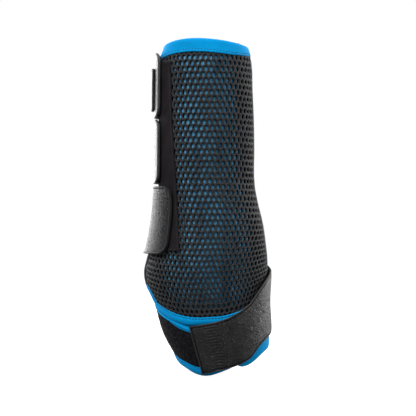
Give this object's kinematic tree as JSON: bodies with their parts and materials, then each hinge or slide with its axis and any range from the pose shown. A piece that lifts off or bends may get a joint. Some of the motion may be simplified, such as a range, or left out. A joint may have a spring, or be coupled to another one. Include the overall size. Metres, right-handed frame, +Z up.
{
  "type": "tendon boot",
  "caption": "Padded honeycomb-mesh boot for a horse's lower leg with a pastern cup, a wrap-round sling strap, closing tabs at the back and blue edge tape.",
  "frame": {"origin": "on the leg's axis, in the plane of the boot's lowest edge", "axes": "+Z up the leg, +X towards the front of the leg, -Y towards its outer side"},
  "size_m": [0.1282, 0.0937, 0.3282],
  "materials": {
    "lining": "brushed lining cloth",
    "foam": "open blue foam",
    "mesh": "black honeycomb net",
    "binding": "bright blue stretch tape",
    "loop_tape": "ribbed black loop tape",
    "hook_tape": "black hook tape",
    "leatherette": "black grained leatherette",
    "embossed_leatherette": "glossy black embossed leatherette",
    "piping": "glossy black piping",
    "padding": "black foam",
    "cup_cloth": "brushed black loop cloth",
    "badge": "plain moulded rubber"
  },
  "bodies": {
    "shell": {"front_panel_lining": "lining", "front_panel_foam": "foam", "front_panel_mesh": "mesh", "front_panel_binding": "binding", "loop_strip": "loop_tape", "cup_front_lining": "lining", "cup_front_padding": "padding", "cup_front_cover": "cup_cloth", "cup_front_binding": "binding", "cup_front_yoke": "lining", "strap_anchor": "leatherette"},
    "inner_flap": {"inner_flap_lining": "lining", "inner_flap_foam": "foam", "inner_flap_mesh": "mesh", "inner_flap_binding": "binding", "tab_anchor_strip": "leatherette", "cup_rear_lining": "lining", "cup_rear_padding": "padding", "cup_rear_cover": "cup_cloth", "cup_rear_binding": "binding", "cup_rear_yoke": "lining"},
    "upper_tab": {"upper_tab_face": "embossed_leatherette", "upper_tab_padding": "padding", "upper_tab_piping": "piping", "upper_tab_hook_patch": "hook_tape", "tab_badge": "badge"},
    "middle_tab": {"middle_tab_face": "embossed_leatherette", "middle_tab_padding": "padding", "middle_tab_piping": "piping", "middle_tab_hook_patch": "hook_tape"},
    "lower_tab": {"lower_tab_face": "embossed_leatherette", "lower_tab_padding": "padding", "lower_tab_piping": "piping", "lower_tab_hook_patch": "hook_tape"},
    "sling_strap": {"strap_face": "leatherette", "strap_backing": "padding", "strap_hook_patch": "hook_tape"}
  },
  "joints": [
    {"name": "inner_flap_fold", "type": "hinge", "parent": "shell", "child": "inner_flap", "pos_m": [0.008, 0.0454, 0.1], "axis": [0, 0.0378, -0.9993], "range_deg": [0, 100]},
    {"name": "upper_tab_fold", "type": "hinge", "parent": "inner_flap", "child": "upper_tab", "pos_m": [-0.034, 0.0332, 0.285], "axis": [0, 0, -1], "range_deg": [0, 110]},
    {"name": "middle_tab_fold", "type": "hinge", "parent": "inner_flap", "child": "middle_tab", "pos_m": [-0.034, 0.0338, 0.22], "axis": [0, 0.012, -0.9999], "range_deg": [0, 110]},
    {"name": "lower_tab_fold", "type": "hinge", "parent": "inner_flap", "child": "lower_tab", "pos_m": [-0.034, 0.0434, 0.1185], "axis": [0, 0.0361, -0.9993], "range_deg": [0, 110]},
    {"name": "sling_strap_fold", "type": "hinge", "parent": "shell", "child": "sling_strap", "pos_m": [0.042, 0.0404, 0.1], "axis": [0, 0, 1], "range_deg": [0, 90]}
  ]
}
